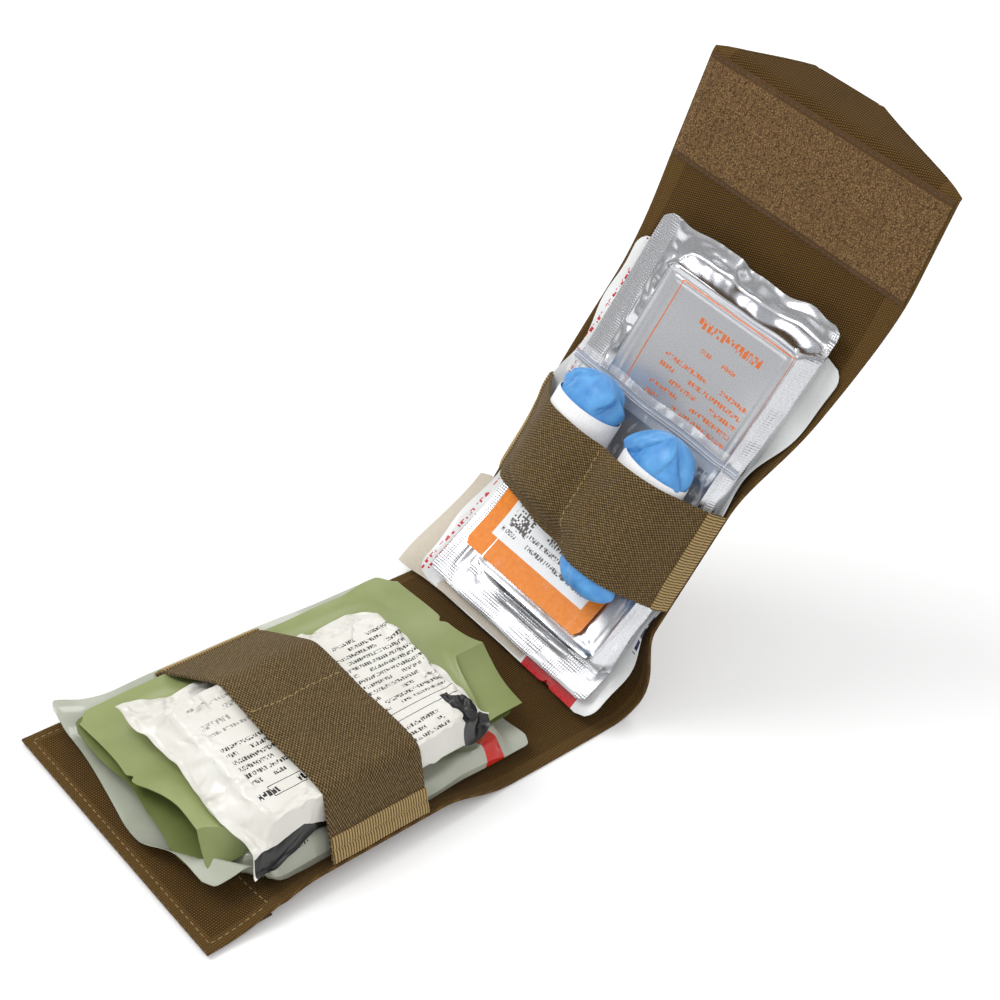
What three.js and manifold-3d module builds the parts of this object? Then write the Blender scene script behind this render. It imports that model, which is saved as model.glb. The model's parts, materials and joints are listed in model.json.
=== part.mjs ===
// Tri-fold first-aid kit insert: a laminated fabric carrier that folds along four
// lines, with elastic bands that hold flat packs and glove rolls on two of its panels.
//
// Millimetres, +Z up. The outer panel and the spine lie on the floor along +X. The
// second panel, the closure panel and its pull flap rise from the spine's far edge.
// Each panel has its own group: +X runs away from the fold, +Y is across the carrier
// and +Z is the side that the packs lie on.

import * as THREE from 'three';
import { mergeVertices } from 'three/addons/utils/BufferGeometryUtils.js';
import Module from 'manifold-3d';

const wasm = await Module();
wasm.setup();

// ---- driving dimensions -------------------------------------------------------

const gap = 0.3; // clearance between pieces that touch on the real kit
const carrierWidth = 125;
const fabric = 1.6; // thickness of the bound laminate
const foldRelief = 1.9; // how far a panel stops short of its fold line

const panelALength = 190;
const spineLength = 50;
const panelBLength = 206;
const panelCLength = 66;
const flapLength = 20;
const flapTipWidth = 40;

const panelBRise = THREE.MathUtils.degToRad(67); // from the floor
const panelCBend = THREE.MathUtils.degToRad(16); // panel C leans in from panel B
const flapBend = THREE.MathUtils.degToRad(38); // the flap leans back from panel C

const webbing = 50; // width of both elastic bands and of the loop tape
const elastic = 1.5;
const bindingWidth = 9;
const bindingThickness = 1.2;

const hookStart = 2;
const hookLength = 30;
const hookThickness = 1.3;
const hookStep = 6; // length over which panel A steps down past the hook strip

const loopStart = 14;
const loopThickness = 2.2;

const film = 0.6; // wall of a formed pouch front
const pouchWall = 1; // the same film, measured level through its sloping side
const backing = 0.5; // flat back of a pouch

const seal = { radius: 36, thickness: 1.4 };
const glove = { halfWidth: 16.2, halfHeight: 11.5 };
const sleeve = 0.6;

// ---- materials ----------------------------------------------------------------

function material(color, roughness, metalness = 0) {
  return new THREE.MeshStandardMaterial({ color, roughness, metalness });
}

const laminate = () => material(0x59412a, 0.85);
const elasticWebbing = () => material(0x6f5f43, 0.9);
const bindingTape = () => material(0x9e8860, 0.85);
const loopPile = () => material(0x674e35, 1.0);
const hookTape = () => material(0x4a3a26, 0.8);
const greyFilm = () => material(0xc3c3b1, 0.35);
const greenFilm = () => material(0x888f63, 0.5);
const whiteFilm = () => material(0xe5e5de, 0.4);
const foilFilm = () => material(0xb9bcc0, 0.3, 0.9);
const clearFilm = () => material(0xe8eef0, 0.15);
const paperCard = () => material(0xcfc5b6, 0.9);
const whitePaper = () => material(0xececed, 0.85);
const labelPaper = () => material(0xe29a4c, 0.7);
const cottonFill = () => material(0xf0eee6, 0.95);
const nitrile = () => material(0x66a8e2, 0.55);
const hydrogel = () => material(0xd8d2c0, 0.4);

// ---- building helpers -----------------------------------------------------------

function named(name, geometry, finish) {
  const mesh = new THREE.Mesh(geometry, finish);
  mesh.name = name;
  return mesh;
}

// A block between two corners.
function block([x0, y0, z0], [x1, y1, z1]) {
  const geometry = new THREE.BoxGeometry(x1 - x0, y1 - y0, z1 - z0);
  return geometry.translate((x0 + x1) / 2, (y0 + y1) / 2, (z0 + z1) / 2);
}

// A shape drawn in X and Y, raised from z0 to z1.
function slab(points, z0, z1) {
  const shape = new THREE.Shape(points.map(([x, y]) => new THREE.Vector2(x, y)));
  const options = { depth: z1 - z0, bevelEnabled: false };
  return new THREE.ExtrudeGeometry(shape, options).translate(0, 0, z0);
}

// A section drawn in Y and Z, run along X from x0 to x1.
function runAlongX(shape, x0, x1) {
  const options = { depth: x1 - x0, bevelEnabled: false, curveSegments: 20 };
  const geometry = new THREE.ExtrudeGeometry(shape, options);
  geometry.rotateX(Math.PI / 2);
  geometry.rotateZ(Math.PI / 2);
  return geometry.translate(x0, 0, 0);
}

// A side view drawn in X and Z, run across the carrier from y0 to y1.
function runAlongY(points, y0, y1) {
  const shape = new THREE.Shape(points.map(([x, z]) => new THREE.Vector2(x, z)));
  const geometry = new THREE.ExtrudeGeometry(shape, { depth: y1 - y0, bevelEnabled: false });
  geometry.rotateX(Math.PI / 2);
  return geometry.translate(0, y1, 0);
}

// Moves a line of [y, z] points outwards (to the left of its direction of travel).
function offsetLine(line, distance) {
  return line.map(([y, z], i) => {
    const before = line[Math.max(i - 1, 0)];
    const after = line[Math.min(i + 1, line.length - 1)];
    const into = new THREE.Vector2(y - before[0], z - before[1]).normalize();
    const out = new THREE.Vector2(after[0] - y, after[1] - z).normalize();
    const first = i === 0 ? out : into;
    const last = i === line.length - 1 ? into : out;
    const normal = new THREE.Vector2(-first.y - last.y, first.x + last.x).normalize();
    const reach = distance / Math.max(normal.dot(new THREE.Vector2(-last.y, last.x)), 0.5);
    return [y + normal.x * reach, z + normal.y * reach];
  });
}

// A ribbon that follows a line of [y, z] points, from one offset of it to another.
function ribbon(line, inner, outer, x0, x1) {
  const outline = [...offsetLine(line, inner), ...offsetLine(line, outer).reverse()];
  const shape = new THREE.Shape(outline.map(([y, z]) => new THREE.Vector2(y, z)));
  return runAlongX(shape, x0, x1);
}

function ellipse(centreY, centreZ, halfWidth, halfHeight) {
  const shape = new THREE.Shape();
  shape.absellipse(centreY, centreZ, halfWidth, halfHeight, 0, Math.PI * 2);
  return shape;
}

function toSolid(geometry) {
  const bare = geometry.clone();
  bare.deleteAttribute('normal');
  bare.deleteAttribute('uv');
  const merged = mergeVertices(bare, 1e-4);
  const vertProperties = Float32Array.from(merged.attributes.position.array);
  const triVerts = Uint32Array.from(merged.index.array);
  return new wasm.Manifold(new wasm.Mesh({ numProp: 3, vertProperties, triVerts }));
}

function toGeometry(solid) {
  const mesh = solid.getMesh();
  const geometry = new THREE.BufferGeometry();
  geometry.setAttribute('position', new THREE.BufferAttribute(mesh.vertProperties, 3));
  geometry.setIndex(new THREE.BufferAttribute(mesh.triVerts, 1));
  geometry.computeVertexNormals();
  return geometry;
}

// A block whose upper edges slope in by the same amount on all four sides.
function mound({ x, y, inset }, z0, z1) {
  const geometry = block([x[0], y[0], z0], [x[1], y[1], z1]);
  const position = geometry.attributes.position;
  const centre = [(x[0] + x[1]) / 2, (y[0] + y[1]) / 2];
  for (let i = 0; i < position.count; i += 1) {
    if (position.getZ(i) > (z0 + z1) / 2) {
      position.setX(i, position.getX(i) - Math.sign(position.getX(i) - centre[0]) * inset);
      position.setY(i, position.getY(i) - Math.sign(position.getY(i) - centre[1]) * inset);
    }
  }
  geometry.computeVertexNormals();
  return geometry;
}

function shrink({ x, y }, by) {
  return { x: [x[0] + by, x[1] - by], y: [y[0] + by, y[1] - by] };
}

// The two films of a pouch, sealed together along a flat rim. The front film is formed
// over what the pouch holds, and every piece stands clear of the others.
function pouchFilms(name, outline, z0, z1, rim, finish) {
  const rimBase = z0 + backing + gap;
  const slope = pouchSlope(z0, z1);
  const back = block([outline.x[0], outline.y[0], z0], [outline.x[1], outline.y[1], z0 + backing]);
  const flange = block([outline.x[0], outline.y[0], rimBase], [outline.x[1], outline.y[1], rimBase + film]);
  const dome = mound({ ...shrink(outline, rim), inset: slope }, rimBase, z1);
  const hollow = mound({ ...shrink(outline, rim + pouchWall), inset: slope }, rimBase - 1, z1 - film);
  const front = toSolid(flange).add(toSolid(dome)).subtract(toSolid(hollow));
  return [named(`${name}_back`, back, finish()), named(`${name}_front`, toGeometry(front), finish())];
}

// What a pouch holds: one block that fills the space under the formed film.
function pouchCore(name, outline, z0, z1, rim, finish) {
  const slope = pouchSlope(z0, z1);
  const clear = rim + pouchWall + 2 * gap + slope / 4;
  const filling = { ...shrink(outline, clear), inset: slope };
  return named(name, mound(filling, z0 + backing + gap, z1 - film - gap), finish());
}

function pouchSlope(z0, z1) {
  return Math.min((z1 - z0) / 2, 6);
}

// ---- carrier panels --------------------------------------------------------------

function panelA() {
  const raised = hookThickness + gap;
  const stepEnd = hookStart + hookLength + gap + hookStep;
  const stepStart = hookStart + hookLength + gap;
  const end = panelALength - foldRelief;
  const side = [
    [0, raised],
    [stepStart, raised],
    [stepEnd, 0],
    [end, 0],
    [end, fabric],
    [stepEnd, fabric],
    [stepStart, raised + fabric],
    [0, raised + fabric],
  ];
  return named('panel_a', runAlongY(side, -carrierWidth / 2, carrierWidth / 2), laminate());
}

function flatPanel(name, length) {
  const half = carrierWidth / 2;
  return named(name, block([foldRelief, -half, 0], [length - foldRelief, half, fabric]), laminate());
}

function hookStrip() {
  const half = carrierWidth / 2 - 2;
  const strip = block([hookStart, -half, 0], [hookStart + hookLength, half, hookThickness]);
  return named('hook_strip', strip, hookTape());
}

function loopPanel() {
  const half = carrierWidth / 2 - 0.5;
  const base = fabric + gap;
  const field = block([loopStart, -half, base], [loopStart + webbing, half, base + loopThickness]);
  return named('loop_panel', field, loopPile());
}

function endFlap() {
  const half = carrierWidth / 2;
  const tip = flapTipWidth / 2;
  const outline = [
    [foldRelief, -half],
    [flapLength, -tip],
    [flapLength, tip],
    [foldRelief, half],
  ];
  return named('end_flap', slab(outline, 0, fabric), laminate());
}

// ---- elastic bands ----------------------------------------------------------------

// The band's inner face follows the given line of [y, z] points over the packs, and a
// sewn binding covers each of its feet.
function elasticBand(suffix, line, x0) {
  const x1 = x0 + webbing;
  const stitched = elastic + gap;
  const pieces = [named(`elastic_band_${suffix}`, ribbon(line, 0, elastic, x0, x1), elasticWebbing())];
  const feet = { near: [line[0], line[1]], far: [line.at(-1), line.at(-2)] };
  for (const [side, [foot, above]] of Object.entries(feet)) {
    const up = new THREE.Vector2(above[0] - foot[0], above[1] - foot[1]).setLength(bindingWidth);
    const top = [foot[0] + up.x, foot[1] + up.y];
    const run = side === 'near' ? [foot, top] : [top, foot];
    const strip = ribbon(run, stitched, stitched + bindingThickness, x0, x1);
    pieces.push(named(`band_${suffix}_binding_${side}`, strip, bindingTape()));
  }
  return pieces;
}

// ---- packs on panel A ---------------------------------------------------------------

const stackA = {
  base: fabric + hookThickness + 2 * gap,
  bandage: { x: [8, 180], y: [-54, 55], top: 11 },
  dressing: { x: [17, 186], y: [-38, 51], top: 22.5 },
  gauze: { x: [28, 157], y: [-45, 37], top: 34.5 },
};
const bandAStart = 62;
const bandALine = [
  [-58.5, fabric + gap],
  [-56, 12.5],
  [-47, 33],
  [-44, 35.2],
  [36, 35.2],
  [39, 34],
  [53.5, 23],
  [57.5, 12],
  [58.5, fabric + gap],
];

function filledPouch(name, coreName, outline, z0, z1, rim, finish) {
  const films = pouchFilms(name, outline, z0, z1, rim, finish);
  return [...films, pouchCore(coreName, outline, z0, z1, rim, cottonFill)];
}

function packsOnA() {
  const { base, bandage, dressing, gauze } = stackA;
  const dressingBase = bandage.top + gap;
  const gauzeBase = dressing.top + gap;
  return [
    ...filledPouch('bandage_pouch', 'bandage_core', bandage, base, bandage.top, 9, greyFilm),
    ...filledPouch('dressing_pouch', 'dressing_core', dressing, dressingBase, dressing.top, 8, greenFilm),
    ...filledPouch('gauze_pack', 'gauze_core', gauze, gauzeBase, gauze.top, 7, whiteFilm),
  ];
}

// ---- packs on panel B ----------------------------------------------------------------

const stackB = {
  leaflet: { x: [4, 180], y: [-57, 57], top: 2.8 },
  sealPouch: { x: [4, 180], y: [-56, 56], top: 8.2 },
  foil: { x: [5, 197], y: [-51, 51], top: 22 },
  zipBag: { x: [14, 128], y: [-52, 46], top: 25.5 },
};
const bandBStart = 55;
const bandBLine = [
  [-58.5, fabric + gap],
  [-57.7, 10],
  [-53.5, 27],
  [-46.5, 43.5],
  [-41, 48.4],
  [-33, 51],
  [27, 51],
  [35, 48],
  [52.5, 27],
  [57.7, 10],
  [58.5, fabric + gap],
];

function leaflet() {
  const { x, y, top } = stackB.leaflet;
  return named('leaflet', block([x[0], y[0], fabric + gap], [x[1], y[1], top]), paperCard());
}

// Two round adhesive seals lie one after the other between the films of their pouch.
function chestSealPouch() {
  const outline = stackB.sealPouch;
  const base = stackB.leaflet.top + gap;
  const bed = base + backing + gap;
  const middle = (outline.x[0] + outline.x[1]) / 2;
  const seals = [-1, 1].map((side) => {
    const disc = new THREE.CylinderGeometry(seal.radius, seal.radius, seal.thickness, 40);
    disc.rotateX(Math.PI / 2);
    disc.translate(middle + side * (seal.radius + 3), 0, bed + seal.thickness / 2);
    return named(side < 0 ? 'chest_seal_lower' : 'chest_seal_upper', disc, hydrogel());
  });
  return [...pouchFilms('chest_seal_pouch', outline, base, outline.top, 8, whiteFilm), ...seals];
}

function foilPouch() {
  const base = stackB.sealPouch.top + gap;
  const { foil } = stackB;
  return filledPouch('foil_pouch', 'foil_pouch_dressing', foil, base, foil.top, 12, foilFilm);
}

// A thin zip bag with a labelled card inside and a zip strip along its open end.
function zipBag() {
  const { x, y, top } = stackB.zipBag;
  const base = stackB.foil.top + gap;
  const cardBase = base + backing + gap;
  const zipLength = 5;
  const bagEnd = x[1] - zipLength - gap;
  const back = block([x[0], y[0], base], [bagEnd, y[1], base + backing]);
  const card = block([x[0] + 8, y[0] + 14, cardBase], [x[0] + 62, y[1] - 8, cardBase + 1]);
  const front = block([x[0], y[0], top - film], [bagEnd, y[1], top]);
  const zip = block([bagEnd + gap, y[0], base], [x[1], y[1], top - film]);
  return [
    named('zip_bag_back', back, clearFilm()),
    named('zip_bag_front', front, clearFilm()),
    named('zip_bag_zip', zip, clearFilm()),
    named('label_card', card, labelPaper()),
  ];
}

// A pair of gloves rolled up and held by a paper sleeve.
const gloveRolls = {
  left: { y: 18.5, start: 60, end: 126, sleeve: [64, 107] },
  right: { y: -25.5, start: 45, end: 124, sleeve: [57, 104] },
};

function gloveRoll(side) {
  const roll = gloveRolls[side];
  const { halfWidth, halfHeight } = glove;
  const centre = stackB.zipBag.top + gap + sleeve + gap + halfHeight;
  const body = runAlongX(ellipse(roll.y, centre, halfWidth, halfHeight), roll.start, roll.end);
  const outer = ellipse(roll.y, centre, halfWidth + gap + sleeve, halfHeight + gap + sleeve);
  outer.holes.push(ellipse(roll.y, centre, halfWidth + gap, halfHeight + gap));
  return [
    named(`glove_roll_${side}`, body, nitrile()),
    named(`glove_sleeve_${side}`, runAlongX(outer, ...roll.sleeve), whitePaper()),
  ];
}

// ---- assembly ------------------------------------------------------------------------

function panelGroup(x, turn, pieces) {
  const group = new THREE.Group();
  group.position.x = x;
  group.rotation.y = -turn;
  group.add(...pieces);
  return group;
}

const flap = panelGroup(panelCLength, -flapBend, [endFlap()]);
const closure = panelGroup(panelBLength, panelCBend, [
  flatPanel('panel_c', panelCLength),
  loopPanel(),
  flap,
]);
const second = panelGroup(spineLength, panelBRise, [
  flatPanel('panel_b', panelBLength),
  ...elasticBand('b', bandBLine, bandBStart),
  leaflet(),
  ...chestSealPouch(),
  ...foilPouch(),
  ...zipBag(),
  ...gloveRoll('left'),
  ...gloveRoll('right'),
  closure,
]);
const spine = panelGroup(panelALength, 0, [flatPanel('spine', spineLength), second]);

const kit = new THREE.Group();
kit.add(panelA(), hookStrip(), ...elasticBand('a', bandALine, bandAStart), ...packsOnA(), spine);

// The origin is the middle of the kit's footprint, on the floor.
const bounds = new THREE.Box3().setFromObject(kit, true);
kit.position.set(-(bounds.min.x + bounds.max.x) / 2, 0, -bounds.min.z);

export default kit;
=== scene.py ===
"""Looks of an opened tri-fold first aid kit insert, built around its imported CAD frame.

Pieces are made in millimetres in the frame of the panel they lie on, then placed in metres.
"""

import json
import math

import bpy
import numpy as np
from mathutils import Matrix, Vector
from mathutils.bvhtree import BVHTree

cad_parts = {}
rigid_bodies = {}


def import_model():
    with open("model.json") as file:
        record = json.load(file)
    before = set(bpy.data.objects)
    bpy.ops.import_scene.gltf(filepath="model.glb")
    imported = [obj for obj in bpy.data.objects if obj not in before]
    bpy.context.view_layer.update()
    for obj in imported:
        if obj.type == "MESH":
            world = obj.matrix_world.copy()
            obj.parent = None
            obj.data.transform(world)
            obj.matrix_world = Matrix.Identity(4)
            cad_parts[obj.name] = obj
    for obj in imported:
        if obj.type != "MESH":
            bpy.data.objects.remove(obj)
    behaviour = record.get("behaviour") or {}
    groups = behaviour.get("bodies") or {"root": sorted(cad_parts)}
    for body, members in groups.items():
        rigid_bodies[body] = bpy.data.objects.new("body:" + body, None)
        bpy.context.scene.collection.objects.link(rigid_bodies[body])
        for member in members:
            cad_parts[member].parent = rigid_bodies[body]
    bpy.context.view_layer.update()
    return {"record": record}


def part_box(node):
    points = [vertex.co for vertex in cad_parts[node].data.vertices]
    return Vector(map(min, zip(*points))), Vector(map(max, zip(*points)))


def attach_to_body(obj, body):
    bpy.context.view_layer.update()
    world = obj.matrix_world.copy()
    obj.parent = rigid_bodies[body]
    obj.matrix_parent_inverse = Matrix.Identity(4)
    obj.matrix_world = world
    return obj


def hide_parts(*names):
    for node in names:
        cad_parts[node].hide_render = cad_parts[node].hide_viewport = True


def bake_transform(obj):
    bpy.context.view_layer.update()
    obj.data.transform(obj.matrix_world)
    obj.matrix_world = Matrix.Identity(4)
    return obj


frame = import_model()

MM = 0.001
HALF_WIDTH = 62.5  # of the carrier
FABRIC = 1.5  # thickness of the carrier
FILM = 0.35  # wall of a pouch
PANEL_A, SPINE, PANEL_B, PANEL_C, FLAP = 190.0, 50.0, 206.0, 66.0, 20.0  # lengths
FLAP_TIP = 20.0  # half width of the flap's free edge
FLAP_SHIFT = 9.0  # how far the flap's free edge lies to the far side
SPREAD = 5.0  # how much wider each side of the carrier is over panel C
FLAP_LEAN = math.radians(66)  # past its CAD plate, as limp fabric falls
WEBBING = 50.0  # width of both bands and of the loop field
BAND_A_START = 62.0  # along panel A
BAND_B_START = 55.0  # along panel B
HOOK_END = 32.0  # along panel A
LOOP_START = 14.0  # along panel C
BAND_FOOT = 60.5  # from the middle of the carrier to where a band is sewn on
EDGE_SEAM = 3.2  # from the carrier's edge to its sewn line
HEM = 5.0  # width of the turned edge
RIB_PITCH = 1.35  # of the bands' end tapes
TAPE_WIDTH = 11.5  # of the bands' end tapes
FOIL_BLOCK = (21, 182, -47, 27)  # the block inside the foil pouch, s0, s1, y0, y1


# ---------------------------------------------------------------- small sums


def ease(t):
    """0 to 1 without a kink at either end."""
    t = np.clip(t, 0, 1)
    return t * t * (3 - 2 * t)


def window(x, start, end, fade_in, fade_out):
    """1 between start and end, 0 beyond the fades."""
    return ease((x - start) / fade_in + 1) * ease((end - x) / fade_out + 1)


def hump(x, centre, width):
    return np.exp(-(((x - centre) / width) ** 2))


def ripples(x, y, wavelength, seed, count=9):
    """Smooth uneven heights, mostly between -1 and 1."""
    random = np.random.default_rng(seed)
    total = np.zeros(np.broadcast(x, y).shape)
    for _ in range(count):
        heading, phase = random.uniform(0, 2 * math.pi, 2)
        k = 2 * math.pi / (wavelength * random.uniform(0.7, 1.6))
        total += np.sin(k * (x * math.cos(heading) + y * math.sin(heading)) + phase)
    return total / math.sqrt(2 * count)


def crumple(x, y, cell, seed):
    """Straight-sided dents like crushed film: 0 along the creases, near 1 between them."""
    spots = np.random.default_rng(seed).uniform(0, 1, (64, 64, 2))
    column, row = np.floor(x / cell).astype(int), np.floor(y / cell).astype(int)
    distances = []
    for i in (-1, 0, 1):
        for j in (-1, 0, 1):
            spot = spots[(column + i) % 64, (row + j) % 64]
            away = np.hypot(x / cell - column - i - spot[..., 0], y / cell - row - j - spot[..., 1])
            distances.append(away)
    nearest = np.sort(distances, axis=0)
    return nearest[1] - nearest[0]


def from_block(s, y, block, corner):
    """Distance from a round-cornered rectangle (s0, s1, y0, y1), negative inside it."""
    s0, s1, y0, y1 = block
    qs = np.abs(s - (s0 + s1) / 2) - (s1 - s0) / 2 + corner
    qy = np.abs(y - (y0 + y1) / 2) - (y1 - y0) / 2 + corner
    outside = np.hypot(np.maximum(qs, 0), np.maximum(qy, 0))
    return outside + np.minimum(np.maximum(qs, qy), 0) - corner


def plan(box, corner, step):
    """A grid of s and y over a rectangle with round corners."""
    s0, s1, y0, y1 = box
    s = np.linspace(s0, s1, round((s1 - s0) / step) + 1)
    reach = np.maximum(corner - np.minimum(s - s0, s1 - s), 0)
    inset = corner - np.sqrt(np.maximum(corner**2 - reach**2, 0))
    t = np.linspace(0, 1, round((y1 - y0) / step) + 1)
    low, high = (y0 + inset)[:, None], (y1 - inset)[:, None]
    y = low + (high - low) * t
    return np.broadcast_to(s[:, None], y.shape).copy(), y


# ------------------------------------------------------------------- panels


class Panel:
    """A panel's own frame: s from its first fold, y across, n out towards the packs."""

    def __init__(self, body, start, angle):
        self.body = body
        self.start = np.array(start, float)
        self.along = np.array([math.cos(angle), 0, math.sin(angle)])
        self.out = np.array([-math.sin(angle), 0, math.cos(angle)])

    def at(self, s, y, n):
        """Points in the row frame, in metres."""
        s, y, n = np.broadcast_arrays(s, y, n)
        across = np.array([0.0, 1.0, 0.0])
        offset = s[..., None] * self.along + y[..., None] * across + n[..., None] * self.out
        return self.start + MM * offset


def fold_points():
    """Where the four folds are, from the joints, after the outer end of panel A."""
    places = {j["name"]: j["pos_m"] for j in frame["record"]["behaviour"]["joints"] if "pos_m" in j}
    first = [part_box("panel_a")[0].x, 0, 0]
    names = ("fold_a_spine", "fold_spine_b", "fold_b_c", "fold_c_flap")
    return [np.array(first, float)] + [np.array(places[name], float) for name in names]


FOLDS = fold_points()


def heading(first, second):
    return math.atan2(second[2] - first[2], second[0] - first[0])


ANGLES = [heading(FOLDS[i], FOLDS[i + 1]) for i in range(4)]
ANGLES.append(ANGLES[3] - FLAP_LEAN)
BODIES = ("panel_a_body", "spine_body", "panel_b_body", "panel_c_body", "end_flap_body")
panel_a, spine, panel_b, panel_c, flap = (
    Panel(body, start, angle) for body, start, angle in zip(BODIES, FOLDS, ANGLES)
)
STARTS = np.cumsum([0, PANEL_A, SPINE, PANEL_B, PANEL_C])  # of each panel along the strip
BEND_REACH = (14.0, 16.0, 26.0, 3.0)  # how far each fold's curve runs either side of it


# ------------------------------------------------------------------- meshes


def shell(name, upper, lower, uv, materials, sharp=40):
    """A closed piece between two grids of points with the same rows and columns."""
    rows, columns = upper.shape[:2]
    count = rows * columns
    index = np.arange(count).reshape(rows, columns)
    top = grid_faces(rows, columns)
    under = top[:, ::-1] + count
    rim = np.concatenate([index[0, ::-1], index[1:, 0], index[-1, 1:], index[-2:0:-1, -1]])
    turned = np.roll(rim, -1)
    side = np.stack([rim, turned, turned + count, rim + count], 1)
    points = np.concatenate([upper.reshape(-1, 3), lower.reshape(-1, 3)])
    faces = np.concatenate([top, under, side])
    mesh = bpy.data.meshes.new(name)
    mesh.from_pydata(points.tolist(), [], faces.tolist())
    uv = np.concatenate([uv.reshape(-1, 2)] * 2)
    layer = mesh.uv_layers.new(name="mm")
    layer.data.foreach_set("uv", uv[faces.ravel()].astype(np.float32).ravel())
    for material in materials:
        mesh.materials.append(material)
    slots = np.zeros(len(faces), np.int32)
    slots[len(top):] = len(materials) - 1
    mesh.polygons.foreach_set("material_index", slots)
    mesh.update()
    if centre_volume(points, faces) < 0:
        mesh.flip_normals()
    mesh.shade_smooth()
    mesh.set_sharp_from_angle(angle=math.radians(sharp))
    return add_object(name, mesh)


def centre_volume(points, faces):
    """Signed volume, to see which way a closed mesh faces."""
    corners = points[faces] - points.mean(0)
    first = np.cross(corners[:, 0], corners[:, 1])
    second = np.cross(corners[:, 0], corners[:, 2])
    return (first * corners[:, 2]).sum() + (second * corners[:, 3]).sum()


def add_object(name, mesh):
    piece = bpy.data.objects.new(name, mesh)
    bpy.context.scene.collection.objects.link(piece)
    return piece


def attach(piece, slot_name, body, *nodes):
    """Hides the CAD nodes a piece stands for and gives it the body it moves with; its slot name is not
    used.
    """
    if nodes:
        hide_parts(*nodes)
    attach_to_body(piece, body)


def normals_of(points):
    """Unit normals of a grid of points."""
    normal = np.cross(np.gradient(points, axis=0), np.gradient(points, axis=1))
    return normal / np.maximum(np.linalg.norm(normal, axis=-1, keepdims=True), 1e-12)


def thick(name, points, thickness, uv, materials, sharp=40):
    """A sheet of even thickness in mm, grown from its lower face along its normals."""
    upper = points + normals_of(points) * thickness * MM
    return shell(name, upper, points, uv, materials, sharp)


def slab(name, panel, s, y, upper, lower, materials, sharp=40):
    """A piece between two heights over a plan of s and y."""
    uv = np.stack(np.broadcast_arrays(s, y), -1)
    return shell(name, panel.at(s, y, upper), panel.at(s, y, lower), uv, materials, sharp)


def grid_faces(rows, columns):
    index = np.arange(rows * columns).reshape(rows, columns)
    corners = (index[:-1, :-1], index[1:, :-1], index[1:, 1:], index[:-1, 1:])
    return np.stack([c.ravel() for c in corners], 1)


def settled(film, block, frames=20, stiffness=0.25):
    """A film, a grid of (s, y, n) in mm, pinned round its rim and dropped over a block as cloth."""
    scene = bpy.context.scene
    unit = 0.01  # the solver works best on metre-sized cloth, so 100 mm count as 1 m here
    rows, columns = film.shape[:2]
    mesh = bpy.data.meshes.new("film")
    mesh.from_pydata((film.reshape(-1, 3) * unit).tolist(), [], grid_faces(rows, columns).tolist())
    cloth = add_object("film", mesh)
    rim = np.zeros((rows, columns), bool)
    rim[:2], rim[-2:], rim[:, :2], rim[:, -2:] = True, True, True, True
    cloth.vertex_groups.new(name="rim").add(np.flatnonzero(rim).tolist(), 1.0, "REPLACE")
    solid = bpy.data.meshes.new("block")
    solid.from_pydata((block.reshape(-1, 3) * unit).tolist(), [], grid_faces(*block.shape[:2]).tolist())
    solid_object = add_object("block", solid)
    solid_object.modifiers.new("collide", "COLLISION")
    solid_object.collision.thickness_outer = 0.004
    solid_object.collision.cloth_friction = 8
    modifier = cloth.modifiers.new("cloth", "CLOTH")
    settings = modifier.settings
    settings.quality, settings.mass, settings.air_damping = 4, 0.15, 2.0
    settings.tension_stiffness, settings.compression_stiffness = 30, 30
    settings.shear_stiffness, settings.bending_stiffness = 15, stiffness
    settings.vertex_group_mass = "rim"
    modifier.collision_settings.distance_min = 0.004
    modifier.collision_settings.collision_quality = 2
    scene.frame_start, scene.frame_end = 1, frames
    modifier.point_cache.frame_start, modifier.point_cache.frame_end = 1, frames
    for number in range(1, frames + 1):
        scene.frame_set(number)
    graph = bpy.context.evaluated_depsgraph_get()
    result = cloth.evaluated_get(graph).to_mesh()
    points = np.zeros(rows * columns * 3, np.float32)
    result.vertices.foreach_get("co", points)
    for piece in (cloth, solid_object):
        bpy.data.objects.remove(piece)
    scene.frame_set(1)
    return points.reshape(rows, columns, 3).astype(float) / unit


def refined(points):
    """A grid with twice as many rows and columns, curved through the first ones."""
    for _ in range(2):
        wide = np.concatenate([2 * points[:1] - points[1:2], points, 2 * points[-1:] - points[-2:-1]])
        middle = (9 * (wide[1:-2] + wide[2:-1]) - wide[:-3] - wide[3:]) / 16
        finer = np.empty((2 * len(points) - 1,) + points.shape[1:])
        finer[::2], finer[1::2] = points, middle
        points = finer.swapaxes(0, 1)
    return points


def filled_pouch(name, panel, film, low, materials, sharp=40):
    """A pouch from its settled upper film and the lower film under the same plan."""
    s, y = film[..., 0], film[..., 1]
    upper = panel.at(s, y, np.maximum(film[..., 2], low + FILM * 0.8))
    return shell(name, upper, panel.at(s, y, low), film[..., :2], materials, sharp)


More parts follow.
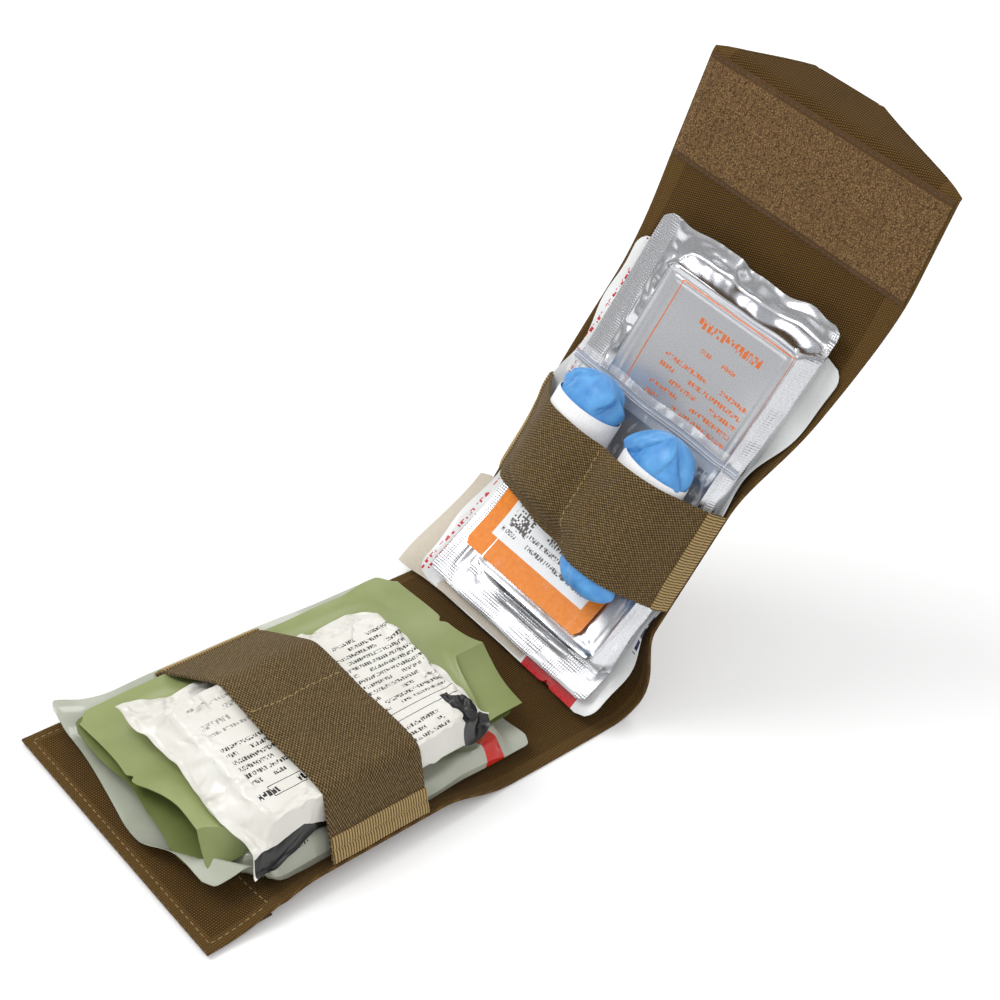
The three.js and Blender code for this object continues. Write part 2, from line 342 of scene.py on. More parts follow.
def thread(name, centres, directions, normals, size, material):
    """Stitches: one small lens of thread for each centre. size is length, width, height in mm."""
    length, width, height = (v * MM / 2 for v in size)
    ring = np.linspace(0, 2 * math.pi, 6, endpoint=False)
    stations = (-1.0, -0.6, 0.0, 0.6, 1.0)
    points, faces = [], []
    for centre, along, up in zip(centres, directions, normals):
        side = np.cross(up, along)
        base = len(points)
        for t in stations:
            swell = math.sqrt(max(1 - t * t, 0.04))
            for angle in ring:
                across = side * (width * swell * math.cos(angle))
                rise = up * (height * swell * math.sin(angle))
                points.append(centre + along * (length * t) + across + rise)
        for i in range(len(stations) - 1):
            for j in range(6):
                a, b = base + i * 6 + j, base + i * 6 + (j + 1) % 6
                faces.append((a, b, b + 6, a + 6))
        faces.append(tuple(base + j for j in reversed(range(6))))
        faces.append(tuple(base + 24 + j for j in range(6)))
    mesh = bpy.data.meshes.new(name)
    mesh.from_pydata([tuple(p) for p in points], [], faces)
    mesh.materials.append(material)
    mesh.shade_smooth()
    return add_object(name, mesh)


def stitch_row(name, path, normals, size, gap, material, sway=0.0):
    """Stitches spaced along a path of points in metres; sway turns every other one, as in a zigzag."""
    steps = np.linalg.norm(np.diff(path, axis=0), axis=1)
    travelled = np.concatenate([[0], np.cumsum(steps)])
    pitch = (size[0] + gap) * MM
    places = np.arange(pitch / 2, travelled[-1] - pitch / 3, pitch)

    def sample(values, at):
        return np.stack([np.interp(at, travelled, values[:, i]) for i in range(3)], 1)

    centres = sample(path, places)
    along = sample(path, places + pitch / 4) - sample(path, places - pitch / 4)
    along /= np.linalg.norm(along, axis=1, keepdims=True)
    up = sample(normals, places)
    up /= np.linalg.norm(up, axis=1, keepdims=True)
    side = np.cross(up, along)
    turn = np.where(np.arange(len(places)) % 2, sway, -sway)[:, None]
    along = along * np.cos(turn) + side * np.sin(turn)
    return thread(name, centres, along, up, size, material)


# ---------------------------------------------------------------- materials


def chart(r, g, b):
    """Linear colour from 0 to 255 chart numbers."""
    channels = [c / 255 for c in (r, g, b)]
    return tuple(((c + 0.055) / 1.055) ** 2.4 for c in channels) + (1.0,)


class Look:
    """A Principled material with short ways to wire nodes. Its maps measure millimetres."""

    def __init__(self, name, colour, roughness, **sockets):
        self.material = bpy.data.materials.new(name)
        self.material.use_nodes = True
        self.tree = self.material.node_tree
        self.shader = self.tree.nodes["Principled BSDF"]
        self.paint(colour)
        self.wire(self.shader, {"Roughness": roughness})
        self.wire(self.shader, {key.replace("_", " "): value for key, value in sockets.items()})
        self.uv = self.add("UVMap", {}, uv_map="mm")
        split = self.tree.nodes.new("ShaderNodeSeparateXYZ")
        self.wire(split, {0: self.uv})
        self.x, self.y = split.outputs[0], split.outputs[1]

    def wire(self, node, values):
        for key, value in values.items():
            if isinstance(value, bpy.types.NodeSocket):
                self.tree.links.new(value, node.inputs[key])
            else:
                node.inputs[key].default_value = value

    def add(self, kind, inputs, **settings):
        node = self.tree.nodes.new("ShaderNode" + kind)
        for key, value in settings.items():
            setattr(node, key, value)
        self.wire(node, inputs)
        return node.outputs[0]

    def math(self, operation, *values):
        return self.add("Math", dict(enumerate(values)), operation=operation)

    def mix(self, amount, first, second):
        node = self.tree.nodes.new("ShaderNodeMix")
        node.data_type = "RGBA"
        self.wire(node, {0: amount, 6: first, 7: second})
        return node.outputs[2]

    def spread(self, value, low, high, out_low=0.0, out_high=1.0):
        """value from low..high to out_low..out_high, clamped."""
        inputs = {0: value, 1: low, 2: high, 3: out_low, 4: out_high}
        return self.add("MapRange", inputs)

    def noise(self, wavelength, detail=3.0, stretch=(1, 1)):
        """Noise over the map, 0 to 1, with features about a wavelength of mm across."""
        scale = (stretch[0] / wavelength, stretch[1] / wavelength, 1)
        vector = self.add("Mapping", {"Vector": self.uv, "Scale": scale})
        return self.add("TexNoise", {"Vector": vector, "Scale": 1.0, "Detail": detail})

    def wave(self, value, pitch):
        """A sine of the given pitch, -1 to 1."""
        return self.math("SINE", self.math("MULTIPLY", value, 2 * math.pi / pitch))

    def turned(self, degrees):
        """Map coordinates turned by an angle, as x and y."""
        angle = (0, 0, math.radians(degrees))
        vector = self.add("Mapping", {"Vector": self.uv, "Rotation": angle})
        split = self.tree.nodes.new("ShaderNodeSeparateXYZ")
        self.wire(split, {0: vector})
        return split.outputs[0], split.outputs[1]

    def cell(self, x, y, width, height):
        """A random number for each cell of a grid."""
        column = self.math("FLOOR", self.math("DIVIDE", x, width))
        row = self.math("FLOOR", self.math("DIVIDE", y, height))
        vector = self.add("CombineXYZ", {0: column, 1: row})
        return self.add("TexWhiteNoise", {"Vector": vector}, noise_dimensions="3D")

    def inside(self, box):
        """1 inside a rectangle (x0, x1, y0, y1) of the map."""
        x0, x1, y0, y1 = box
        near_x = self.math("ABSOLUTE", self.math("SUBTRACT", self.x, (x0 + x1) / 2))
        near_y = self.math("ABSOLUTE", self.math("SUBTRACT", self.y, (y0 + y1) / 2))
        in_x = self.math("LESS_THAN", near_x, (x1 - x0) / 2)
        in_y = self.math("LESS_THAN", near_y, (y1 - y0) / 2)
        return self.math("MULTIPLY", in_x, in_y)

    def both(self, *masks):
        result = masks[0]
        for mask in masks[1:]:
            result = self.math("MULTIPLY", result, mask)
        return result

    def either(self, *masks):
        result = masks[0]
        for mask in masks[1:]:
            result = self.math("MAXIMUM", result, mask)
        return result

    def frame_lines(self, box, width):
        """The outline of a rectangle."""
        x0, x1, y0, y1 = box
        inner = self.inside((x0 + width, x1 - width, y0 + width, y1 - width))
        return self.math("SUBTRACT", self.inside(box), inner)

    def marks(self, box, pitch, ink, letter, lengthwise=True):
        """Rows of unreadable marks that stand for small print, inside a rectangle of the map."""
        run, stack = (self.x, self.y) if lengthwise else (self.y, self.x)
        part = self.math("FRACT", self.math("DIVIDE", stack, pitch))
        in_row = self.math("LESS_THAN", part, ink)
        words = self.math("GREATER_THAN", self.cell(run, stack, letter * 4.7, pitch), 0.22)
        gaps = self.math("FRACT", self.math("DIVIDE", run, letter))
        body = self.math("LESS_THAN", gaps, 0.78)
        strokes = self.cell(run, stack, letter / 2.3, letter / 1.6)
        inked = self.math("GREATER_THAN", strokes, 0.36)
        return self.both(self.inside(box), in_row, words, body, inked)

    def paint(self, colour):
        self.wire(self.shader, {"Base Color": colour})

    def print_on(self, mask, base, ink):
        mixed = self.mix(mask, base, ink)
        self.paint(mixed)
        return mixed

    def bump(self, height, depth, below=None):
        """Raises the surface by depth mm where height is 1; below is a bump it adds to."""
        inputs = {"Height": height, "Distance": depth * MM, "Strength": 1.0}
        if below is not None:
            inputs["Normal"] = below
        normal = self.add("Bump", inputs)
        self.wire(self.shader, {"Normal": normal})
        return normal


def laminate_look():
    look = Look("laminate", chart(89, 65, 40), 0.85, Specular_IOR_Level=0.12, Sheen_Weight=0.03)
    across, along = look.turned(33)
    dots = look.math("MULTIPLY", look.wave(across, 1.6), look.wave(along, 1.3))
    thread_noise = look.noise(0.5, 2)
    cloudy = look.noise(34, 3)
    base = look.mix(look.spread(cloudy, 0.35, 0.7), chart(56, 38, 12), chart(68, 47, 18))
    # The dots are the weave's own pattern; their lighter colour on the raised crowns is also a painted
    # highlight.
    lit = look.mix(look.spread(dots, 0.1, 0.9), base, chart(122, 93, 46))
    hem = look.math("GREATER_THAN", look.math("ABSOLUTE", look.y), HALF_WIDTH - HEM)
    hem = look.either(hem, look.math("LESS_THAN", look.x, HEM))
    lit = look.mix(look.math("MULTIPLY", hem, 0.3), lit, chart(112, 86, 46))
    look.paint(look.mix(look.spread(thread_noise, 0.55, 0.8, 0, 0.4), lit, chart(44, 29, 12)))
    weave = look.bump(dots, 0.16)
    weave = look.bump(hem, 0.4, weave)
    look.bump(thread_noise, 0.1, weave)
    return look.material


def elastic_look():
    look = Look("elastic", chart(108, 90, 60), 0.9, Specular_IOR_Level=0.12, Sheen_Weight=0.05)
    run, cross = look.turned(12)
    slubs = look.math("MULTIPLY", look.wave(run, 1.35), look.wave(cross, 1.9))
    uneven = look.noise(1.0, 3, (1, 0.5))
    broad = look.noise(22, 2)
    dark = look.mix(look.spread(broad, 0.35, 0.7), chart(56, 42, 20), chart(70, 54, 28))
    light = look.mix(look.spread(uneven, 0.35, 0.65), chart(106, 86, 54), chart(148, 125, 86))
    look.paint(look.mix(look.spread(slubs, -0.3, 0.5), dark, light))
    relief = look.bump(slubs, 0.24)
    look.bump(uneven, 0.16, relief)
    return look.material


def binding_look():
    look = Look("binding", chart(150, 126, 84), 0.85, Specular_IOR_Level=0.15, Sheen_Weight=0.05)
    ribs = look.wave(look.x, RIB_PITCH)
    fuzz = look.noise(0.5, 3)
    base = look.mix(look.spread(ribs, -0.7, 0.5), chart(96, 76, 42), chart(182, 157, 110))
    look.paint(look.mix(look.spread(fuzz, 0.4, 0.7, 0, 0.4), base, chart(124, 100, 62)))
    look.bump(fuzz, 0.1)
    return look.material


def pile_look():
    look = Look("loop_pile", chart(104, 78, 52), 0.95, Specular_IOR_Level=0.1, Sheen_Weight=0.08)
    fine = look.noise(0.7, 4)
    tufts = look.noise(2.1, 3)
    broad = look.noise(11, 2)
    shade = look.mix(look.spread(tufts, 0.35, 0.65), chart(70, 50, 28), chart(108, 82, 50))
    shade = look.mix(look.spread(fine, 0.48, 0.7), shade, chart(158, 128, 90))
    from_middle = look.math("ABSOLUTE", look.math("SUBTRACT", look.x, LOOP_START + WEBBING / 2))
    edge = look.math("GREATER_THAN", from_middle, WEBBING / 2 - 2.8)
    shade = look.mix(look.both(edge, look.spread(broad, 0.2, 0.5, 0.6, 1)), shade, chart(84, 61, 36))
    look.paint(look.mix(look.spread(broad, 0.4, 0.7, 0, 0.25), shade, chart(78, 56, 35)))
    look.bump(fine, 0.35)
    return look.material


def hook_look():
    look = Look("hook_tape", chart(74, 58, 38), 0.6)
    dots = look.math("MULTIPLY", look.wave(look.x, 1.6), look.wave(look.y, 1.6))
    look.paint(look.mix(look.spread(dots, 0.1, 0.8), chart(60, 45, 28), chart(104, 84, 58)))
    look.bump(look.spread(dots, 0.0, 1.0), 0.5)
    return look.material


def thread_look(name, colour):
    look = Look(name, colour, 0.7, Sheen_Weight=0.3)
    node = look.tree.nodes.new("ShaderNodeTexCoord")
    grain = look.add("TexNoise", {"Vector": node.outputs["Object"], "Scale": 1800.0, "Detail": 2.0})
    darker = tuple(c * 0.55 for c in colour[:3]) + (1.0,)
    look.paint(look.mix(look.spread(grain, 0.35, 0.65), darker, colour))
    look.bump(grain, 0.08)
    return look.material


def film_look(name, light, shade, roughness, grain, **sockets):
    """Printed pouch film: slight mottling, fine grain and soft creases."""
    look = Look(name, light, roughness, **sockets)
    cloudy = look.noise(26, 3)
    fine = look.noise(grain, 3)
    look.base = look.mix(look.spread(cloudy, 0.3, 0.7), shade, light)
    look.paint(look.base)
    look.fine = look.bump(fine, 0.03)
    rough = look.spread(fine, 0.3, 0.7, roughness - 0.06, roughness + 0.08)
    look.wire(look.shader, {"Roughness": rough})
    return look


def green_look():
    look = film_look("green_film", chart(147, 157, 103), chart(132, 143, 88), 0.36, 0.8)
    inner = look.noise(0.45, 2)
    look.bump(inner, 0.05, look.fine)
    return look.material


def green_inside_look():
    # A darker green for the pouch's inner faces and its under film: painted shade inside the pouch and its
    # open mouth.
    return film_look("green_inside", chart(108, 119, 62), chart(92, 103, 50), 0.5, 0.8).material


def grey_look():
    look = film_look("grey_film", chart(186, 189, 175), chart(166, 170, 152), 0.2, 1.6, Coat_Weight=0.5)
    red = look.inside((152, 163, -60, -38))
    name_line = look.marks((30, 62, -49, -45), 4.2, 0.55, 1.5)
    printed = look.print_on(name_line, look.base, chart(40, 42, 40))
    look.print_on(red, printed, chart(205, 40, 30))
    return look.material


def gauze_look():
    look = film_look("gauze_film", chart(226, 224, 217), chart(212, 209, 200), 0.34, 1.2, Coat_Weight=0.15)
    black = chart(16, 15, 15)
    grey = chart(150, 148, 142)
    left_print = look.marks((42, 64, -28, -6), 3.9, 0.52, 1.25)
    bold = look.marks((40, 66, -35.5, -30), 5.0, 0.6, 2.1)
    codes = look.marks((42, 66, 1, 17), 5.2, 0.5, 1.7)
    lines = look.marks((112, 149, -24, 16), 3.5, 0.5, 1.3)
    box_left = look.frame_lines((46, 62, -36, -30.5), 0.35)
    box_right = look.frame_lines((108, 150, -31, -26.5), 0.35)
    low = look.marks((110, 132, -45, -33), 3.6, 0.5, 1.3)
    below = look.math("LESS_THAN", look.y, -48.2)
    blocks = look.both(below, look.inside((29, 76, -62, -40)))
    panel = look.inside((138, 157, -50, -29))
    stretched = look.add("Mapping", {"Vector": look.uv, "Scale": (0.09, 0.12, 1)})
    shapes = look.add("TexVoronoi", {"Vector": stretched, "Scale": 1.0})
    figure = look.math("GREATER_THAN", shapes, 0.42)
    ink = look.either(left_print, bold, lines, box_left, box_right, low, blocks, look.both(panel, figure))
    printed = look.print_on(look.both(codes, look.math("SUBTRACT", 1.0, blocks)), look.base, grey)
    look.print_on(ink, printed, black)
    return look.material


def seal_pouch_look():
    look = film_look("white_film", chart(236, 237, 236), chart(222, 224, 224), 0.3, 1.5, Coat_Weight=0.2)
    dashes = look.marks((-8, 184, 52.5, 56.5), 5.5, 0.75, 3.2)
    red_end = look.inside((-12, 9, -47, -14))
    navy = look.marks((-12, 184, -58, -50), 10, 0.62, 6.5)
    printed = look.print_on(look.either(dashes, red_end), look.base, chart(196, 28, 36))
    places = look.either(look.inside((14, 50, -56, -50)), look.inside((112, 128, -56, -50)))
    look.print_on(look.both(navy, places), printed, chart(34, 36, 84))
    return look.material


def foil_look():
    look = Look("foil", chart(206, 207, 210), 0.2, Metallic=1.0)
    brushed = look.noise(0.6, 3, (0.8, 1.2))
    broad = look.noise(15, 2)
    text = look.either(
        look.marks((166, 170, -34, 2), 30, 1.0, 2.6, lengthwise=False),
        look.marks((157, 159, -26, -6), 20, 1.0, 1.3, lengthwise=False),
        look.marks((128, 151, -40, 8), 4.6, 0.45, 1.7, lengthwise=False),
    )
    ink = look.either(text, look.frame_lines((122, 179, -46, 19), 0.6))
    lower_seal = look.both(look.inside((0, 14, -60, 60)), look.spread(broad, 0.45, 0.5))
    seal = look.either(look.inside((0, 200, 42, 60)), lower_seal, look.inside((60, 200, -60, -49)))
    dot_x, dot_y = look.turned(45)
    dots = look.math("MULTIPLY", look.wave(dot_x, 1.7), look.wave(dot_y, 1.7))
    base = look.mix(look.spread(brushed, 0.3, 0.7), chart(196, 197, 201), chart(222, 223, 226))
    # Towards its lower end the foil is painted darker, a painted shade on the lower flange; the same mask
    # also dulls its roughness below.
    low_end = look.spread(look.x, 22, 12)
    base = look.mix(look.math("MULTIPLY", low_end, 0.75), base, chart(150, 150, 153))
    look.print_on(ink, base, chart(214, 112, 56))
    look.wire(look.shader, {"Metallic": look.math("SUBTRACT", 1.0, look.math("MULTIPLY", ink, 0.8))})
    face = look.inside(FOIL_BLOCK)
    duller = look.math("MULTIPLY", look.either(face, low_end), 0.12)
    look.wire(look.shader, {"Roughness": look.math("ADD", duller, 0.22)})
    grain = look.bump(look.both(brushed, face), 0.06)
    look.bump(look.both(dots, seal), 0.05, grain)
    return look.material


def clear_look():
    look = Look("clear_film", (0.93, 0.95, 0.98, 1), 0.12, Alpha=0.16, Coat_Weight=0.1)
    cloudy = look.noise(12, 3)
    streaks = look.noise(4.0, 3, (0.6, 1.2))
    edge = look.either(look.inside((118, 140, -60, 60)), look.inside((0, 140, -60, -46)))
    # Patches of more opaque white film, mostly over the zip end, are painted highlights.
    painted_highlights = look.spread(look.math("MULTIPLY", cloudy, streaks), 0.27, 0.4, 0.02, 0.4)
    painted_highlights = look.math("MULTIPLY", painted_highlights, look.either(look.inside((80, 140, -60, 60)), 0.06))
    look.wire(look.shader, {"Alpha": look.math("ADD", painted_highlights, look.math("MULTIPLY", edge, 0.14))})
    look.bump(streaks, 0.08)
    return look.material


def zip_look():
    look = Look("zip_strip", chart(206, 214, 226), 0.2, Alpha=0.6, Coat_Weight=0.5)
    ribs = look.wave(look.x, 1.1)
    look.paint(look.mix(look.spread(ribs, -0.2, 0.8), chart(176, 186, 204), chart(240, 243, 248)))
    look.bump(ribs, 0.25)
    return look.material


def leaflet_look():
    look = Look("leaflet_paper", chart(207, 197, 182), 0.8, Specular_IOR_Level=0.3)
    fibre = look.noise(1.2, 4, (1, 0.4))
    look.paint(look.mix(look.spread(fibre, 0.3, 0.7), chart(203, 194, 178), chart(210, 201, 186)))
    look.bump(fibre, 0.02)
    return look.material


def paper_look():
    look = Look("white_paper", chart(238, 238, 239), 0.75, Specular_IOR_Level=0.3)
    fibre = look.noise(1.0, 4)
    look.paint(look.mix(look.spread(fibre, 0.3, 0.7), chart(228, 228, 231), chart(242, 242, 243)))
    look.bump(fibre, 0.04)
    return look.material


def card_look():
    look = Look("label_card", chart(240, 150, 62), 0.45, Specular_IOR_Level=0.3)
    fibre = look.noise(2.0, 3)
    orange = look.mix(look.spread(fibre, 0.3, 0.7), chart(224, 122, 24), chart(234, 138, 38))
    white = look.inside((34, 70, -27, 32))
    squares = look.math("GREATER_THAN", look.cell(look.x, look.y, 0.9, 0.9), 0.55)
    bars = look.math("GREATER_THAN", look.cell(look.x, look.y, 50, 0.7), 0.5)
    ink = look.either(
        look.marks((46, 49, -20, 10), 20, 1.0, 1.7, lengthwise=False),
        look.marks((36, 45, -24, 30), 4.2, 0.5, 1.5, lengthwise=False),
        look.both(look.inside((41, 54, 17, 29)), squares),
        look.both(look.inside((38, 46, -23, -9)), bars),
    )
    stock = look.mix(white, orange, chart(236, 238, 240))
    look.print_on(ink, stock, chart(92, 84, 84))
    look.bump(fibre, 0.015)
    return look.material


def nitrile_look():
    look = Look("nitrile", chart(92, 163, 226), 0.42, Specular_IOR_Level=0.45, Subsurface_Weight=0.05)
    fine = look.noise(0.9, 3)
    broad = look.noise(7, 3)
    look.paint(look.mix(look.spread(broad, 0.3, 0.7), chart(66, 134, 200), chart(98, 166, 224)))
    creased = look.bump(broad, 0.12)
    look.bump(fine, 0.06, creased)
    return look.material


# ------------------------------------------------------------------ carrier


def carrier_line(u):
    """Points and headings along the middle of the carrier, u mm from its outer end."""
    point = FOLDS[0] / MM + np.zeros(u.shape + (3,))
    angle = np.zeros(u.shape)
    panels = (panel_a, spine, panel_b, panel_c, flap)
    ends = np.append(STARTS[1:], 1e6)
    for panel, start, end in zip(panels, STARTS, ends):
        point = point + (np.clip(u, start, end) - start)[..., None] * panel.along
    point = point + np.minimum(u, 0)[..., None] * panel_a.along
    for i, reach in enumerate(BEND_REACH):
        fold = STARTS[i + 1]
        corner = np.maximum(reach - np.abs(u - fold), 0) ** 2 / (4 * reach)
        point = point + corner[..., None] * (panels[i + 1].along - panels[i].along)
        turn = ANGLES[i + 1] - ANGLES[i]
        angle = angle + turn * np.clip((u - fold + reach) / (2 * reach), 0, 1)
    return point, angle


def edge_curl(u, side):
    """How far the carrier's edge curls up, in radians, and where the curl starts."""
    if side < 0:
        curl = 0.62 * window(u, 55, 120, 50, 42) + 0.86 * window(u, 285, 345, 42, 78)
        start = 34 - 16 * window(u, 285, 350, 40, 80)
        return curl, start
    curl = 0.32 * window(u, 62, 114, 40, 40) + 0.3 * window(u, 290, 350, 40, 60)
    return curl, np.full(u.shape, 40.0)


def edge_lift(u, v):
    """Place across and height of the carrier where its sides curl up."""
    across, height = np.zeros(u.shape), np.zeros(u.shape)
    for side in (-1, 1):
        curl, start = edge_curl(u, side)
        reach = HALF_WIDTH - start
        past = np.clip(side * v - start, 0, None)
        bend = curl * past / reach
        place = np.minimum(side * v, start) + past * np.sinc(bend / math.pi)
        here = side * v > 0
        across = np.where(here, side * place, across)
        rise = past * bend / 2 * np.sinc(bend / (2 * math.pi)) ** 2
        height = np.where(here, rise, height)
    return across, height


def carrier(u, v):
    """Points on the carrier's lower face in metres, u along it and v across it in mm."""
    u, v = np.broadcast_arrays(np.asarray(u, float), np.asarray(v, float))
    line, angle = carrier_line(u)
    across, height = edge_lift(u, v)
    over_hook = 1.6 * (1 - ease((u - HOOK_END - 0.3) / 6))
    slack = 0.5 * ripples(u, v, 60, 3) * window(u, 120, 210, 30, 20)
    height = height + over_hook + np.maximum(slack, 0)
    line[..., 0] -= np.sin(angle) * height
    line[..., 2] += np.cos(angle) * height
    line[..., 1] = across
    return line * MM


def carrier_top(u, v):
    """Points on the carrier's upper face, and the normals there."""
    u, v = np.broadcast_arrays(np.asarray(u, float), np.asarray(v, float))
    du = carrier(u + 0.5, v) - carrier(u - 0.5, v)
    dv = carrier(u, v + 0.5) - carrier(u, v - 0.5)
    normal = np.cross(du, dv)
    normal /= np.linalg.norm(normal, axis=-1, keepdims=True)
    return carrier(u, v) + normal * FABRIC * MM, normal


def half_width_at(u):
    """The carrier spreads a little over panel C and narrows along the flap."""
    spread = HALF_WIDTH + SPREAD * ease((u - STARTS[3] + 46) / 70)
    t = np.clip((u - STARTS[4]) / FLAP, 0, 1)
    return spread + (FLAP_TIP - spread) * t


def carrier_piece(name, u0, u1, look):
    rows = np.linspace(u0, u1, round((u1 - u0) / 2) + 1)
    rim = np.array([0, 0.5, 1.6, 2.6, 3.2, 3.8, 5, 8])
    middle = np.linspace(10, 115, 50)
    columns = (np.concatenate([rim, middle, 125 - rim[::-1]]) - HALF_WIDTH) / HALF_WIDTH
    u, share = np.meshgrid(rows, columns, indexing="ij")
    half = half_width_at(u)
    edge = half * (1 - np.abs(share))
    v = share * half + FLAP_SHIFT * ease((u - STARTS[4]) / FLAP)
    lower = carrier(u, v)
    upper, normal = carrier_top(u, v)
    seam = hump(edge, EDGE_SEAM, 0.7) + hump(u, EDGE_SEAM, 0.7) + hump(u, HOOK_END - 1, 0.8)
    dent = 0.3 * np.minimum(seam, 1) + 0.45 * np.exp(-edge / 0.35)
    upper = upper - normal * dent[..., None] * MM
    return shell(name, upper, lower, np.stack([u, v], -1), [look], sharp=60)


def build_carrier(look):
    """The carrier in four pieces, each bending across one fold, and joined where nothing bends."""
    cuts = (0, STARTS[1] + 25, STARTS[2] + 80, STARTS[3] + 34, STARTS[4] + FLAP)
    names = ("carrier_outer", "carrier_middle", "carrier_rise", "carrier_tip")
    nodes = (("panel_a",), ("spine",), ("panel_b", "panel_c"), ("end_flap",))
    for i, name in enumerate(names):
        piece = carrier_piece(name, cuts[i], cuts[i + 1], look)
        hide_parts(*nodes[i])
        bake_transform(piece)


def stitch_carrier(look):
    """The sewn box of the hook tape, which holds panel A's free end."""
    def line(name, u, v):
        points, normals = carrier_top(np.asarray(u, float), np.asarray(v, float))
        row = stitch_row(name, points - normals * 0.12 * MM, normals, (2.3, 0.55, 0.45), 0.9, look)
        attach(row, "binding", "panel_a_body")

    reach = HALF_WIDTH - EDGE_SEAM
    across = np.linspace(-reach, reach, 120)
    line("stitches_outer_end", EDGE_SEAM + 0 * across, across)
    line("stitches_hook_inner", HOOK_END - 1 + 0 * across, across)
    run = np.linspace(EDGE_SEAM, HOOK_END - 1, 60)
    for side, word in ((-1, "near"), (1, "far")):
        line(f"stitches_{word}_panel_a_body", run, side * reach + 0 * run)


def build_hook_tape(look):
    """The hook strip under the free end, with its hooks as a field of small studs."""
    s, y = np.meshgrid(np.linspace(2, HOOK_END, 61), np.linspace(-60.5, 60.5, 243), indexing="ij")
    inside = (from_block(s, y, (3.5, 30.5, -59, 59), 1) < 0) * 1.0
    studs = np.clip(np.sin(2 * math.pi * s / 1.5) * np.sin(2 * math.pi * y / 1.5), 0, 1) * inside
    piece = slab("hook_tape", panel_a, s, y, 1.45 + 0 * s, 0.75 - 0.7 * studs, [look])
    attach(piece, "hook_tape", "panel_a_body", "hook_strip")


def build_loop_field(look, thread_material):
    """The wide loop field: a pile with tufts, between two flat woven edges."""
    u0 = STARTS[3] + LOOP_START
    half = HALF_WIDTH + SPREAD - 1.2
    rows, columns = np.linspace(0, WEBBING, 126), np.linspace(-half, half, 300)
    s, v = np.meshgrid(rows, columns, indexing="ij")
    base, normal = carrier_top(u0 + s, v)
    edge = np.minimum(np.minimum(s, WEBBING - s), half + 0.3 - np.abs(v))
    pile = ease((edge - 2.2) / 1.2)
    tufts = ripples(s, v, 2.6, 21, 14) + 0.8 * ripples(s, v, 1.4, 22, 14)
    height = 0.75 + pile * (0.75 + 0.3 * tufts) - 0.5 * np.exp(-edge / 0.4)
    upper = base + normal * height[..., None] * MM
    uv = np.stack([s + LOOP_START, v], -1)
    piece = shell("loop_field", upper, base - normal * 0.1 * MM, uv, [look], sharp=80)
    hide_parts("loop_panel")
    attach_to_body(piece, "panel_c_body")
    for place, word in ((1.3, "low"), (WEBBING - 1.3, "high")):
        line = np.linspace(1.1 - half, half - 1.1, 124)
        points, normals = carrier_top(u0 + place + 0 * line, line)
        path = points + normals * 0.75 * MM
        row = stitch_row(f"stitches_loop_{word}", path, normals, (2.2, 0.5, 0.45), 0.9, thread_material)
        attach(row, "binding", "panel_c_body")


# ------------------------------------------------------- packs on panel A


def lift_a(s, y):
    """How far panel A's curled sides lift what lies on them."""
    return edge_lift(s + 0 * y, y + 0 * s)[1]


def add_pack(piece, body, nodes):
    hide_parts(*nodes)
    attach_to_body(piece, body)


def build_bandage_pouch(look):
    """The glossy grey-green pouch at the bottom of the stack."""
    s, y = plan((7, 181, -53, 62), 5, 2.4)
    box = (36, 166, -47, 46)
    filled = from_block(s, y, box, 12)
    plump = ease(1 - filled / 10)
    corner = 2.5 * ease((-32 - y) / 18) * ease((s - 118) / 24)
    base = 3.9 + 0.5 * lift_a(s, y) + 3.6 * ease((y - 46) / 12) + corner
    slack = 2.2 * ripples(s, y, 26, 31) * ease((filled + 8) / 8) * ease(-(filled - 16) / 8)
    bulge = 3.5 * hump(y, -44, 7) * window(s, 44, 112, 12, 8)
    film = np.stack([s, y, base + FILM + 8.6 * plump + bulge + slack * plump], -1)
    core = np.stack([s, y, base - 0.5 + 6.4 * ease(1 - filled / 7) + 0.9 * bulge], -1)
    film = refined(settled(film, core, stiffness=0.05))
    s, y, base = (refined(v[..., None])[..., 0] for v in (s, y, base))
    to_corner = (30 - s) - 0.8 * (y + 22)
    curl = 9 * ease(to_corner / 34) + 2.5 * ease((26 - s) / 20) * ease((y - 20) / 34)
    roll = 2.6 * hump(to_corner, 27, 6) - 2.2 * hump(to_corner, 14, 5)
    curl = curl + roll * ease((-37 - y) / 5)
    stretch = ease((44 - s) / 40)
    film[..., 0] += 8 * stretch * ease((y + 10) / 50) + 5 * ease((to_corner - 12) / 24)
    film[..., 1] += 7 * stretch * ease((y - 5) / 44) + 8 * ease((to_corner - 8) / 26)
    film[..., 2] += curl
    piece = filled_pouch("bandage_pouch", panel_a, film, base + curl, [look])
    nodes = ("bandage_pouch_back", "bandage_pouch_front", "bandage_core")
    add_pack(piece, "bandage_pack", nodes)


